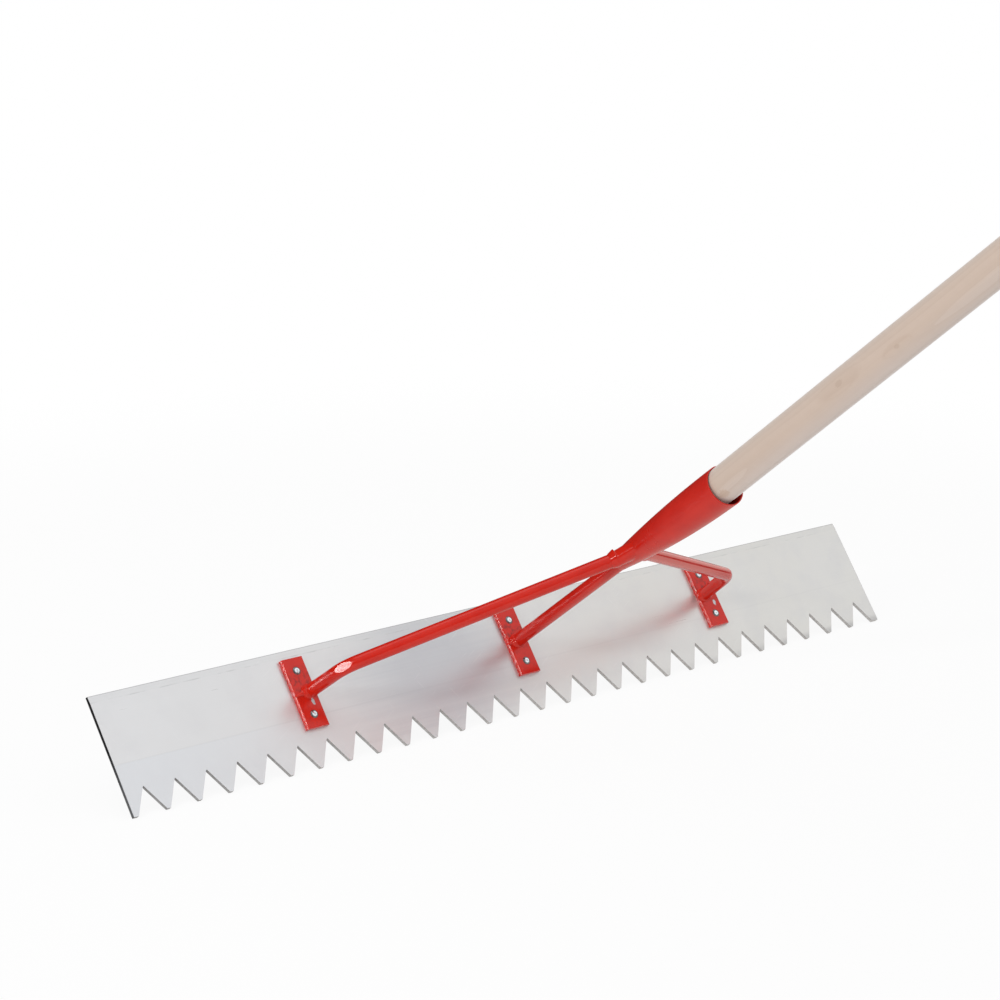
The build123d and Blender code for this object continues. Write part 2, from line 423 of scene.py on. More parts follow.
def red_enamel():
    """Red stove enamel: dull on the socket, thin on the plates' rims, bare at two spots, sooty near
    the welds, with painted shade and dirt round the rivet heads.
    """
    finish, tree, shader = new_finish("red_enamel")
    place = blade_space(tree)
    x, y, z = parts_of(tree, place)
    clouds = use(tree, PATCHES, Place=place, Scale=38.0, Low=0.3, High=0.7)["Share"]
    specks = use(tree, PATCHES, Place=place, Scale=420.0, Low=0.45, High=0.8)["Share"]
    red = blend(tree, clouds, ENAMEL_RED, ENAMEL_LIGHTER)
    red = tint(tree, red, specks, 0.22, ENAMEL_SPECK)

    bare = None
    for side in (-1, 1):
        spot = use(
            tree,
            SPOT,
            Place=place,
            Middle=(
                side * PLATE_SPACING + BARE_SPOT_ACROSS,
                -PLATE_THICKNESS,
                BRACKET_HEIGHT - BARE_SPOT_DOWN,
            ),
            Squeeze=(1.4, 0.5, 0.75),
            Radius=0.0026,
            Ragged=0.25,
        )
        bare = larger(tree, bare, spot["Mask"])

    upward = minus(tree, z, BRACKET_HEIGHT)
    on_plate = ramp(tree, y, -PLATE_THICKNESS - 0.0006, -PLATE_THICKNESS - 0.0001)
    from_rivet = use(tree, RIVET_REACH, Place=place)["Distance"]
    # Painted shade with dirt: a dark ring on the plate round each rivet head.
    ring = ramp(tree, from_rivet, *RIVET_SHADE_RING)
    soot = use(tree, PATCHES, Place=place, Scale=210.0, Low=0.42, High=0.70)["Share"]
    soot = times(tree, soot, ramp(tree, upward, -0.012, 0.008, 0.25, 1.0))
    soot = times(tree, soot, ramp(tree, upward, 0.034, 0.012))
    # Soot near the welds is dirt; the ring round the rivets is painted shade with dirt.
    soot_and_rivet_shade = larger(tree, times(tree, ring, 0.75), times(tree, soot, 0.62))
    red = tint(tree, red, soot_and_rivet_shade, on_plate, ENAMEL_SOOT_AND_SHADE)

    across = sums(tree, "ABSOLUTE", from_nearest_plate(tree, x))
    along = sums(tree, "ABSOLUTE", upward)
    rim = larger(
        tree,
        ramp(tree, across, PLATE_WIDTH / 2 - PLATE_RIM, PLATE_WIDTH / 2),
        ramp(tree, along, PLATE_HEIGHT / 2 - PLATE_END_RIM, PLATE_HEIGHT / 2),
    )
    rim = times(tree, rim, on_plate)
    thin = use(tree, PATCHES, Place=place, Scale=230.0, Low=0.56, High=0.66)["Share"]
    bare = larger(tree, bare, times(tree, times(tree, rim, thin), 0.30))

    scratched = use(tree, SCRATCHES, Place=place, Scale=45.0, Amount=0.10)["Mask"]
    rough = plus(tree, between(tree, clouds, 0.11, 0.16), scratched)
    rough = more(tree, rough, rim, 0.09)
    rough = more(tree, rough, ramp(tree, y, GLOSS_ENDS, DULLEST), 0.20)
    rough = more(tree, rough, bare, 0.2)

    peel = noise(tree, place, 330.0, 2.0, 0.45)
    runs = noise(tree, place, 70.0, 1.0)
    skin = relief(tree, peel, strength=0.005, distance=0.0004)
    skin = relief(tree, runs, strength=0.06, distance=0.0012, under=skin)
    skin = relief(tree, minus(tree, 1.0, bare), strength=0.25, distance=0.0002, under=skin)
    fill(tree, shader, blend(tree, bare, red, BARE_STEEL), rough, skin)
    tree.links.new(times(tree, bare, 0.85), shader.inputs["Metallic"])
    shader.inputs["Specular IOR Level"].default_value = 0.44
    return finish


MILL_COOL = (0.735, 0.740, 0.752, 1)
MILL_WARM = (0.705, 0.695, 0.663, 1)
MILL_CLOUD = (0.70, 0.70, 0.705, 1)
MILL_STAIN = (0.60, 0.60, 0.63, 1)
MILL_BLUISH_DARK = (0.490, 0.500, 0.535, 1)
MILL_DRAWN = (0.86, 0.86, 0.865, 1)
MILL_REFLECTION_EDGE = (0.40, 0.40, 0.41, 1)
MILL_REFLECTION_BELOW_EDGE = (0.705, 0.728, 0.765, 1)
MILL_STRIP = (0.46, 0.46, 0.47, 1)
MILL_STRIP_FOOT = (0.34, 0.34, 0.35, 1)
MILL_TIP = (0.30, 0.30, 0.31, 1)
MILL_BURR_AND_EDGE_SHADE = (0.24, 0.24, 0.245, 1)
MILL_SCRATCH = (0.88, 0.88, 0.88, 1)
SHEARED_DARK = (0.45, 0.45, 0.46, 1)
SHEARED_LIGHT = (0.60, 0.60, 0.61, 1)
SAWN_END_SHADE_FOOT = (0.20, 0.205, 0.215, 1)
SAWN_END_SHADE_TOP = (0.035, 0.035, 0.037, 1)
BLUISH_PATCH_MIDDLE = (-0.106, 0.0, 0.070)
BLUISH_PATCH_SQUEEZE = (1.0, 0.0, 1.5)
REFLECTION_EDGE_HEIGHT = 0.052
STRIP_FOOT = 0.1158
BURR_AND_EDGE_SHADE = (0.1219, 0.1226)
SAWN_DEPTH = 0.0002


def mill_aluminium():
    """Rolled aluminium: fine lines along the blade, cloudy patches, a darker bluish patch, dull
    sheared edges; a painted reflection edge, painted shade at the top edge and on the sawn ends.
    """
    finish, tree, shader = new_finish("mill_aluminium")
    place = blade_space(tree)
    x, _, z = parts_of(tree, place)
    clouds = use(tree, PATCHES, Place=place, Scale=7.0, Low=0.32, High=0.68)["Share"]
    stains = use(tree, PATCHES, Place=place, Scale=26.0, Low=0.42, High=0.72)["Share"]
    smudges = use(tree, PATCHES, Place=place, Scale=55.0, Low=0.44, High=0.70)["Share"]
    lines = use(tree, LINES, Place=place, Along=5.0, Across=1500.0, Detail=4.0)["Share"]
    bands = use(tree, LINES, Place=place, Along=1.2, Across=120.0, Detail=2.0)["Share"]
    marks = use(tree, SCRATCHES, Place=place, Scale=30.0, Amount=1.0)["Mask"]

    warmer = ramp(tree, x, -0.45, 0.35)
    grey = blend(tree, warmer, MILL_COOL, MILL_WARM)
    grey = tint(tree, grey, clouds, 0.35, MILL_CLOUD)
    grey = tint(tree, grey, stains, ramp(tree, x, -0.2, 0.45, 0.12, 0.26), MILL_STAIN)
    # A darker bluish patch left of the middle of the blade, ragged at its edge.
    away = vectors(tree, "SUBTRACT", place, BLUISH_PATCH_MIDDLE)
    reach = vectors(tree, "LENGTH", vectors(tree, "MULTIPLY", away, BLUISH_PATCH_SQUEEZE))
    reach = plus(tree, reach, between(tree, bands, -0.018, 0.018, soft=False))
    grey = tint(tree, grey, ramp(tree, reach, 0.155, 0.030), 0.76, MILL_BLUISH_DARK)
    grey = tint(tree, grey, lines, 0.10, MILL_DRAWN)

    # Painted reflection edge: a dark line along the blade at 52 mm, with a lighter bluish band
    # painted below it on the left; the relief keeps a small crease there.
    line = ramp(tree, apart_from(tree, z, REFLECTION_EDGE_HEIGHT), 0.0014, 0.0002)
    grey = tint(tree, grey, line, between(tree, warmer, 0.10, 0.05), MILL_REFLECTION_EDGE)
    below_reflection_edge = ramp(tree, z, REFLECTION_EDGE_HEIGHT + 0.0005, REFLECTION_EDGE_HEIGHT - 0.0005)
    left = ramp(tree, x, -0.46, -0.22, 0.55, 0.0)
    grey = tint(tree, grey, below_reflection_edge, left, MILL_REFLECTION_BELOW_EDGE)
    strip = ramp(tree, z, STRIP_FOOT - 0.0006, STRIP_FOOT + 0.0006)
    grey = tint(tree, grey, strip, 0.07, MILL_STRIP)
    strip_foot = ramp(tree, apart_from(tree, z, STRIP_FOOT), 0.0009, 0.0)
    grey = tint(tree, grey, times(tree, strip_foot, smudges), 0.42, MILL_STRIP_FOOT)
    tips = ramp(tree, z, 0.009, 0.001)
    grey = tint(tree, grey, tips, ramp(tree, x, 0.05, 0.48, 0.0, 0.45), MILL_TIP)
    # Painted edge shade with a burr: a dark line along the top edge.
    grey = tint(tree, grey, ramp(tree, z, *BURR_AND_EDGE_SHADE), 0.4, MILL_BURR_AND_EDGE_SHADE)
    grey = tint(tree, grey, marks, 0.12, MILL_SCRATCH)

    front = (0, -math.cos(WORKING_LEAN), math.sin(WORKING_LEAN))
    sheared = ramp(tree, facing(tree, front), 0.80, 0.45)
    torn = use(tree, PATCHES, Place=place, Scale=520.0, Low=0.35, High=0.65)["Share"]
    colour = blend(tree, sheared, grey, blend(tree, torn, SHEARED_DARK, SHEARED_LIGHT))
    from_middle = apart_from(tree, x, BLADE_SHIFT)
    sawn = sums(tree, "GREATER_THAN", from_middle, BLADE_LENGTH / 2 - SAWN_DEPTH)
    # Painted shade on the sawn end faces: dark grey at the foot, near black towards the top.
    sawn_end_shade = blend(tree, ramp(tree, z, 0.012, 0.075), SAWN_END_SHADE_FOOT, SAWN_END_SHADE_TOP)
    colour = blend(tree, sawn, colour, sawn_end_shade)

    rough = between(tree, lines, 0.28, 0.34, soft=False)
    rough = plus(tree, rough, between(tree, bands, -0.03, 0.04, soft=False))
    rough = more(tree, rough, stains, 0.06)
    rough = more(tree, rough, sheared, 0.22)

    skin = relief(tree, line, strength=0.03, distance=0.0003)
    ragged = times(tree, torn, sheared)
    skin = relief(tree, ragged, strength=0.12, distance=0.0003, under=skin)
    fill(tree, shader, colour, rough, skin)
    shader.inputs["Metallic"].default_value = 0.70
    return finish


WOOD_YELLOWER = (0.628, 0.500, 0.417, 1)
WOOD_PAINTED_REFLECTION = (0.660, 0.558, 0.502, 1)
WOOD_TONE = (0.612, 0.490, 0.405, 1)
WOOD_LATE = (0.50, 0.370, 0.285, 1)
WOOD_STREAK = (0.58, 0.46, 0.385, 1)
WOOD_FIBRE = (0.44, 0.335, 0.26, 1)
WOOD_KNOT = (0.40, 0.275, 0.20, 1)
WOOD_SMUDGE = (0.50, 0.33, 0.21, 1)
WOOD_END = (0.47, 0.34, 0.25, 1)
WANDER_STRETCH = (3.0, 30.0, 30.0)
PITH = (0.021, 0.016, 0.0)
RINGS_PER_METRE = 330.0
# Each knot: distance from the socket's mouth, degrees round the handle, radius
KNOTS = (
    (0.2010, 179.0, 0.0030),
    (0.2793, -159.0, 0.0019),
    (0.74, 60.0, 0.0028),
    (1.13, -80.0, 0.0022),
)
SMUDGE = (0.0065, -136.0, 0.0046)
PAINTED_REFLECTION_SIDE = math.radians(-75.0)


def on_handle(distance, degrees):
    """Point of the handle's surface, with the handle lying along X."""
    turn = math.radians(degrees)
    return distance, HANDLE_RADIUS * math.cos(turn), HANDLE_RADIUS * math.sin(turn)


def handle_spot(tree, place, spot, squeeze, ragged, grow=1.0):
    """Ragged spot on the handle's surface, drawn out along it."""
    distance, degrees, radius = spot
    return use(
        tree,
        SPOT,
        Place=place,
        Middle=on_handle(distance, degrees),
        Squeeze=(squeeze, 1.0, 1.0),
        Radius=radius * grow,
        Ragged=ragged,
    )["Mask"]


def pale_wood():
    """Plain sanded softwood: long faint rings, fibres, a few small knots, darker end grain; one
    side painted paler and cooler as a reflection of the floor.
    """
    finish, tree, shader = new_finish("pale_wood")
    inverse = HANDLE_PLACE.inverted()
    x, y, z = parts_of(tree, object_place(tree, inverse.to_euler(), inverse.translation))
    lying = place_of(tree, z, x, y)
    wander = noise(tree, vectors(tree, "MULTIPLY", lying, WANDER_STRETCH), 1.0, 2.0)
    from_pith = vectors(tree, "SUBTRACT", place_of(tree, x, y, 0.0), PITH)
    bent = more(tree, vectors(tree, "LENGTH", from_pith), wander, 0.008)

    knots = None
    swell = None
    for knot in KNOTS:
        knots = larger(tree, knots, handle_spot(tree, lying, knot, 0.6, 0.18))
        swell = larger(tree, swell, handle_spot(tree, lying, knot, 0.28, 0.10, 3.0))
    bent = more(tree, bent, swell, 0.0012)
    late = sums(tree, "POWER", sums(tree, "FRACT", times(tree, bent, RINGS_PER_METRE)), 2.6)

    fibres = use(tree, LINES, Place=lying, Along=14.0, Across=1500.0, Detail=3.0)["Share"]
    streaks = use(tree, LINES, Place=lying, Along=3.0, Across=170.0, Detail=2.0)["Share"]
    tone = use(tree, PATCHES, Place=lying, Scale=4.5, Low=0.3, High=0.7)["Share"]
    # Painted reflection: one side of the handle turns paler and cooler, as if it mirrored the
    # floor.
    side = times(tree, x, math.cos(PAINTED_REFLECTION_SIDE) / HANDLE_RADIUS)
    side = more(tree, side, y, math.sin(PAINTED_REFLECTION_SIDE) / HANDLE_RADIUS)
    side = plus(tree, side, ramp(tree, wander, 0.2, 0.8, -0.25, 0.25, soft=False))
    wood = blend(tree, ramp(tree, side, 0.0, 0.6), WOOD_YELLOWER, WOOD_PAINTED_REFLECTION)
    wood = tint(tree, wood, tone, 0.45, WOOD_TONE)
    wood = tint(tree, wood, late, 0.26, WOOD_LATE)
    wood = tint(tree, wood, streaks, 0.22, WOOD_STREAK)
    wood = tint(tree, wood, fibres, 0.12, WOOD_FIBRE)
    wood = tint(tree, wood, swell, 0.16, WOOD_LATE)
    wood = tint(tree, wood, knots, 0.26, WOOD_KNOT)
    wood = tint(tree, wood, handle_spot(tree, lying, SMUDGE, 0.75, 0.35), 0.42, WOOD_SMUDGE)
    axis = HANDLE_PLACE.to_3x3() @ Vector((0, 0, 1))
    end_grain = ramp(tree, facing(tree, tuple(axis)), 0.45, 0.95)
    wood = tint(tree, wood, end_grain, 0.45, WOOD_END)

    rough = between(tree, fibres, 0.52, 0.66, soft=False)
    skin = relief(tree, fibres, strength=0.02, distance=0.0002)
    skin = relief(tree, late, strength=0.015, distance=0.0002, under=skin)
    fill(tree, shader, wood, rough, skin)
    shader.inputs["Specular IOR Level"].default_value = 0.30
    shader.inputs["Sheen Weight"].default_value = 0.8
    shader.inputs["Sheen Roughness"].default_value = 0.40
    return finish


RIVET_SILVER = (0.80, 0.88, 0.93, 1)
RIVET_BRIGHT = (0.88, 0.94, 0.98, 1)
RIVET_SCRATCH = (0.62, 0.64, 0.66, 1)
RIVET_RIM_SHADE = (0.10, 0.09, 0.09, 1)


def bright_rivet():
    """Tumbled aluminium of the rivet bodies, with painted shade darkening the foot of their domes.
    """
    finish, tree, shader = new_finish("bright_rivet")
    place = blade_space(tree)
    clouds = use(tree, PATCHES, Place=place, Scale=300.0, Low=0.35, High=0.65)["Share"]
    marks = use(tree, SCRATCHES, Place=place, Scale=350.0, Amount=1.0)["Mask"]
    from_axis = use(tree, RIVET_REACH, Place=place)["Distance"]
    silver = blend(tree, clouds, RIVET_SILVER, RIVET_BRIGHT)
    silver = tint(tree, silver, marks, 0.35, RIVET_SCRATCH)
    # Painted shade: each dome darkens towards its foot into a dark rim.
    silver = blend(tree, ramp(tree, from_axis, 0.0021, 0.0030, 0.0, 0.85), silver, RIVET_RIM_SHADE)
    rough = more(tree, between(tree, clouds, 0.17, 0.28), marks, 0.15)
    dents = noise(tree, place, 900.0, 2.0)
    skin = relief(tree, dents, strength=0.12, distance=0.0002)
    fill(tree, shader, silver, rough, skin)
    shader.inputs["Metallic"].default_value = 1.0
    return finish


PIN_STEEL = (0.62, 0.64, 0.66, 1)
PIN_BRIGHT = (0.78, 0.80, 0.82, 1)
PIN_DARK = (0.42, 0.40, 0.38, 1)


def broken_pin_steel():
    """Grey steel of the rivet pins, rough where they snapped."""
    finish, tree, shader = new_finish("broken_pin_steel")
    place = blade_space(tree)
    grains = use(tree, PATCHES, Place=place, Scale=1400.0, Low=0.3, High=0.7)["Share"]
    dark = use(tree, PATCHES, Place=place, Scale=250.0, Low=0.45, High=0.75)["Share"]
    steel = blend(tree, grains, PIN_STEEL, PIN_BRIGHT)
    steel = tint(tree, steel, dark, 0.3, PIN_DARK)
    rough = between(tree, grains, 0.35, 0.55)
    skin = relief(tree, grains, strength=0.4, distance=0.0002)
    fill(tree, shader, steel, rough, skin)
    shader.inputs["Metallic"].default_value = 1.0
    return finish


ZINC = (0.66, 0.67, 0.68, 1)
ZINC_BLOOM = (0.74, 0.72, 0.66, 1)
ZINC_SCRATCH = (0.42, 0.42, 0.43, 1)


def zinc_screw():
    """Zinc-plated screw with a faint bloom in its plating."""
    finish, tree, shader = new_finish("zinc_screw")
    place = blade_space(tree)
    bloom = use(tree, PATCHES, Place=place, Scale=260.0, Low=0.35, High=0.7)["Share"]
    marks = use(tree, SCRATCHES, Place=place, Scale=400.0, Amount=1.0)["Mask"]
    zinc = blend(tree, bloom, ZINC, ZINC_BLOOM)
    zinc = tint(tree, zinc, marks, 0.5, ZINC_SCRATCH)
    rough = between(tree, bloom, 0.24, 0.40)
    skin = relief(tree, marks, strength=0.2, distance=0.0001)
    fill(tree, shader, zinc, rough, skin)
    shader.inputs["Metallic"].default_value = 1.0
    return finish


FINISHES = {
    "red_paint": red_enamel(),
    "blade_alloy": mill_aluminium(),
    "handle_wood": pale_wood(),
    "rivet_alloy": bright_rivet(),
    "rivet_steel": broken_pin_steel(),
    "screw_steel": zinc_screw(),
}
for node in frame["nodes"].values():
    for held in node.material_slots:
        held.material = FINISHES[held.material.name.split(".")[0]]


# Modelling helpers

def clear_selection():
    """Nothing selected, in object mode."""
    if bpy.context.object is not None and bpy.context.object.mode != "OBJECT":
        bpy.ops.object.mode_set(mode="OBJECT")
    bpy.ops.object.select_all(action="DESELECT")


def pick(piece):
    """One piece selected and active."""
    clear_selection()
    piece.select_set(True)
    bpy.context.view_layer.objects.active = piece


def edit_whole():
    """Edit mode on the active piece, with all of it selected."""
    bpy.ops.object.mode_set(mode="EDIT")
    bpy.ops.mesh.select_all(action="SELECT")


def place_in_mesh(piece, place=None):
    """Put the active piece's place into its mesh, so that its object sits at the origin."""
    if place is not None:
        piece.matrix_world = place
    bpy.ops.object.transform_apply(location=True, rotation=True, scale=True)


def settle(piece, name, slot, nodes, place=None):
    """Place and name a finished piece, give it its finish and let it stand for its nodes."""
    pick(piece)
    if place is not None:
        place_in_mesh(piece, place)
    piece.name = name
    piece.data.name = name
    piece.data.materials.clear()
    piece.data.materials.append(FINISHES[slot])
    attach(piece, "root")
    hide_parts(*nodes)
    clear_selection()
    return piece


def apply_all(piece):
    """Apply every modifier of a piece."""
    pick(piece)
    for modifier in list(piece.modifiers):
        bpy.ops.object.modifier_apply(modifier=modifier.name)


def smoothing(piece, name, factor, rounds, group=""):
    """Smoothing of a piece, or of one group of its points."""
    smooth = piece.modifiers.new(name, "SMOOTH")
    smooth.factor = factor
    smooth.iterations = rounds
    smooth.vertex_group = group


def turned_shape(rings, sides, fill_type):
    """Round shape along Z from its rings, each with its height, its shift along Y and radius."""
    height, shift, radius = rings[0]
    clear_selection()
    bpy.ops.mesh.primitive_circle_add(
        vertices=sides, radius=radius, fill_type=fill_type, location=(0, shift, height)
    )
    shape = bpy.context.object
    place_in_mesh(shape)
    edit_whole()
    for (height, shift, radius), (new_height, new_shift, new_radius) in zip(rings, rings[1:]):
        move = (0, new_shift - shift, new_height - height)
        bpy.ops.mesh.extrude_region_move(TRANSFORM_OT_translate={"value": move})
        grow = new_radius / radius
        bpy.ops.transform.resize(
            value=(grow, grow, 1), center_override=(0, new_shift, new_height)
        )
    bpy.ops.object.mode_set(mode="OBJECT")
    return shape


# Weld beads

# Rings of drops round a tube's foot: height, size of the drops, how far they fall inwards
BEAD_RINGS = (
    (0.0, 0.0019, 0.0),
    (0.0013, 0.0015, 0.0004),
    (0.0026, 0.0011, 0.0008),
    (0.0040, 0.0008, 0.0010),
)
RING_DROPS = 24
RUN_DROPS = 9
DROP_SIZE = 0.0008
DROP_SPREAD = 0.0001
DROP_SINK = 0.0004
FULL_SIDE_BULGE = 0.0008
RUN_MARGIN = 0.0015
RUN_SHORTEST = 0.001
RUN_SIZE = 0.0027
RUN_THINNING = 0.0010
RUN_START = (-TUBE_RADIUS, -0.0004, -0.0002)
RUN_DRIFT = 0.0010
LUMP_SPACING = 0.0032
LUMP_SPACING_STEP = 0.0004
FOOT_VOXEL = 0.0004
FOOT_LUMPS = 0.0002
SOCKET_VOXEL = 0.0005
SOCKET_LUMPS = 0.00003
SOCKET_FACES_KEPT = 0.36
SHEET_STEPS = 48
SHEET_SIDES = 360
SHEET_SLACK = 0.0004
RIM_FREE = 0.0015
RIM_FADE = 0.003
SHEET_END = 0.118
SHEET_FADE = 0.03
NECK_START = -0.278
NECK_FADE = 0.024
MERGE_DISTANCE = 0.00002


def string_of_lumps(points, sizes):
    """Row of overlapping drops of weld metal."""
    clear_selection()
    bpy.ops.mesh.primitive_ico_sphere_add(subdivisions=2, radius=sizes[0], location=points[0])
    bead = bpy.context.object
    place_in_mesh(bead)
    edit_whole()
    for before, after, old, new in zip(points, points[1:], sizes, sizes[1:]):
        bpy.ops.mesh.duplicate_move(TRANSFORM_OT_translate={"value": tuple(after - before)})
        grow = new / old
        bpy.ops.transform.resize(value=(grow, grow, grow), center_override=tuple(after))
    bpy.ops.object.mode_set(mode="OBJECT")
    return bead


def melt(bead, voxel, lump, seed):
    """Melt a bead into one uneven skin."""
    pick(bead)
    bead.data.remesh_voxel_size = voxel
    bead.data.use_remesh_fix_poles = False
    bpy.ops.object.voxel_remesh()
    smoothing(bead, "flow", 0.5, 3)
    unevenness = bpy.data.textures.new(f"weld_unevenness_{seed}", "CLOUDS")
    unevenness.noise_scale = LUMP_SPACING + LUMP_SPACING_STEP * (seed % 3)
    unevenness.noise_depth = 1
    swell = bead.modifiers.new("unevenness", "DISPLACE")
    swell.texture = unevenness
    swell.texture_coords = "LOCAL"
    swell.strength = lump
    swell.mid_level = 0.5
    smoothing(bead, "settle", 0.4, 2)
    apply_all(bead)
    pick(bead)
    bpy.ops.object.shade_smooth()


def foot_bead(name, shift, inset, seed):
    """Weld bead that rises on the left of a tube's foot and runs out to the plate's left edge."""
    chance = random.Random(seed)
    points = []
    sizes = []
    for height, size, fall in BEAD_RINGS:
        for number in range(RING_DROPS):
            turn = 2 * math.pi * number / RING_DROPS
            fuller = (0.5 + 0.5 * math.cos(turn - math.pi)) ** 2
            reach = TUBE_RADIUS - DROP_SINK - fall + FULL_SIDE_BULGE * fuller
            ring_point = (reach * math.cos(turn), reach * math.sin(turn), height * fuller)
            points.append(Vector(ring_point))
            sizes.append(DROP_SIZE + size * fuller + chance.uniform(0.0, DROP_SPREAD))
    run = max(PLATE_WIDTH / 2 + inset - TUBE_RADIUS - RUN_MARGIN, RUN_SHORTEST)
    for number in range(RUN_DROPS):
        share = number / (RUN_DROPS - 1)
        x, y, z = RUN_START
        points.append(Vector((x - run * share, y - RUN_DRIFT * share, z)))
        thinner = RUN_SIZE - RUN_THINNING * share
        sizes.append(thinner + chance.uniform(-DROP_SPREAD, DROP_SPREAD))
    bead = string_of_lumps(points, sizes)
    melt(bead, FOOT_VOXEL, FOOT_LUMPS, seed)
    foot = Matrix.Translation((shift + inset, -PLATE_THICKNESS, 0))
    place = BRACKET_PLACE @ (foot @ Matrix.Rotation(QUARTER_TURN, 4, "X"))
    return settle(bead, f"foot_bead_{name}", "red_paint", [f"weld_foot_{name}"], place)


def socket_skin(depth):
    """Outer radius and rise of the socket at a depth inside its mouth."""
    share = (depth / SOCKET_LENGTH) ** 2
    radius = SOCKET_MOUTH_RADIUS - (SOCKET_MOUTH_RADIUS - SOCKET_NECK_RADIUS) * share
    return radius, (SOCKET_MOUTH_DROP + SOCKET_NECK_LIFT) * share - SOCKET_MOUTH_DROP


def copy_of(node):
    """Free copy of a solid's mesh, with its loose triangles merged."""
    source = frame["nodes"][node]
    piece = source.copy()
    piece.data = source.data.copy()
    piece.parent = None
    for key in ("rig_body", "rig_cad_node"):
        if key in piece:
            del piece[key]
    bpy.context.scene.collection.objects.link(piece)
    pick(piece)
    edit_whole()
    bpy.ops.mesh.remove_doubles(threshold=MERGE_DISTANCE)
    bpy.ops.object.mode_set(mode="OBJECT")
    return piece


def smooth_sheet():
    """Outer skin of the socket alone, turned in fine steps from its neck to its mouth."""
    rings = []
    for number in range(SHEET_STEPS + 1):
        depth = SOCKET_LENGTH * (1 - number / SHEET_STEPS)
        radius, rise = socket_skin(depth)
        rings.append((SOCKET_MOUTH - depth, rise, radius))
    sheet = turned_shape(rings, SHEET_SIDES, "NOTHING")
    place_in_mesh(sheet, BRACKET_PLACE @ Matrix.Rotation(QUARTER_TURN, 4, "X"))
    return sheet


def sheet_share(point):
    """How firmly a point of bracket space is held to the socket's skin, loose at rim and neck."""
    depth = point.y + SOCKET_MOUTH
    radius, rise = socket_skin(max(depth, 0))
    if math.hypot(point.x, point.z - rise) < radius - SHEET_SLACK:
        return 0
    return max(min((depth - RIM_FREE) / RIM_FADE, (SHEET_END - depth) / SHEET_FADE, 1), 0)


def welded_socket(seed):
    """Socket and the welds at its neck, flowed into one painted skin."""
    nodes = ["handle_socket", "weld_neck_left", "weld_neck_right", "weld_neck_centre"]
    pieces = [copy_of(node) for node in nodes]
    skin = pieces[0]
    pick(skin)
    for piece in pieces:
        piece.select_set(True)
    bpy.ops.object.join()
    melt(skin, SOCKET_VOXEL, SOCKET_LUMPS, seed)

    neck = skin.vertex_groups.new(name="neck")
    rolled = skin.vertex_groups.new(name="rolled")
    back = BRACKET_PLACE.inverted()
    for vert in skin.data.vertices:
        point = back @ vert.co
        near_neck = min((point.y - NECK_START) / NECK_FADE, 1)
        for group, share in ((rolled, sheet_share(point)), (neck, near_neck)):
            if share > 0:
                group.add([vert.index], share, "REPLACE")

    sheet = smooth_sheet()
    smoothing(skin, "flow_at_neck", 0.5, 10, "neck")
    hug = skin.modifiers.new("hug_sheet", "SHRINKWRAP")
    hug.target = sheet
    hug.vertex_group = "rolled"
    smoothing(skin, "even_sheet", 0.5, 2)
    fewer = skin.modifiers.new("fewer_faces", "DECIMATE")
    fewer.ratio = SOCKET_FACES_KEPT
    apply_all(skin)
    bpy.ops.object.shade_smooth()
    pick(sheet)
    bpy.ops.object.delete()
    settle(skin, "welded_socket", "red_paint", nodes)


foot_beads = [
    foot_bead("left", -PLATE_SPACING, FOOT_INSET, 3),
    foot_bead("centre", 0, 0, 4),
    foot_bead("right", PLATE_SPACING, -FOOT_INSET, 5),
]
welded_socket(6)


# Handle

HANDLE_SIDES = 96
HANDLE_RING_STEP = 0.1
HANDLE_END_STEPS = 8
LAST_RING_GAP = 0.12
TIP_CLEARANCE = 0.0001
TIP_CHAMFER = 0.002
TAPER_SAMPLE = 0.04
TAPER_LENGTH = 0.122
SHADE_ANGLE = math.radians(30)


def turned_handle():
    """Round wooden handle, turned ring by ring from its tapered tip to its rounded end."""
    tip_skin, tip_rise = socket_skin(HANDLE_INSERT)
    tip_wall = tip_skin - SOCKET_WALL
    tip_height = HANDLE_RISE - HANDLE_INSERT * math.tan(HANDLE_TILT)
    tip_radius = tip_height - tip_rise + tip_wall - TIP_CLEARANCE
    taper = (HANDLE_RADIUS - tip_radius) * TAPER_SAMPLE / TAPER_LENGTH
    profile = [
        (-HANDLE_INSERT, tip_radius - TIP_CHAMFER),
        (-HANDLE_INSERT + TIP_CHAMFER, tip_radius),
        (HANDLE_TAPER_START - TAPER_SAMPLE, HANDLE_RADIUS - taper),
        (HANDLE_TAPER_START, HANDLE_RADIUS),
    ]
    top = HANDLE_LENGTH - HANDLE_INSERT
    step = HANDLE_TAPER_START
    while step < top - HANDLE_END_RADIUS - LAST_RING_GAP:
        step += HANDLE_RING_STEP
        profile.append((step, HANDLE_RADIUS))
    for number in range(HANDLE_END_STEPS + 1):
        turn = QUARTER_TURN * number / HANDLE_END_STEPS
        height = top - HANDLE_END_RADIUS * (1 - math.sin(turn))
        profile.append((height, HANDLE_RADIUS - HANDLE_END_RADIUS * (1 - math.cos(turn))))
    rings = [(height, 0, radius) for height, radius in profile]
    handle = turned_shape(rings, HANDLE_SIDES, "NGON")
    edit_whole()
    bpy.ops.mesh.normals_make_consistent(inside=False)
    bpy.ops.object.mode_set(mode="OBJECT")
    bpy.ops.object.shade_smooth_by_angle(angle=SHADE_ANGLE)
    settle(handle, "turned_handle", "handle_wood", ["handle"], HANDLE_PLACE)


turned_handle()


# Studio

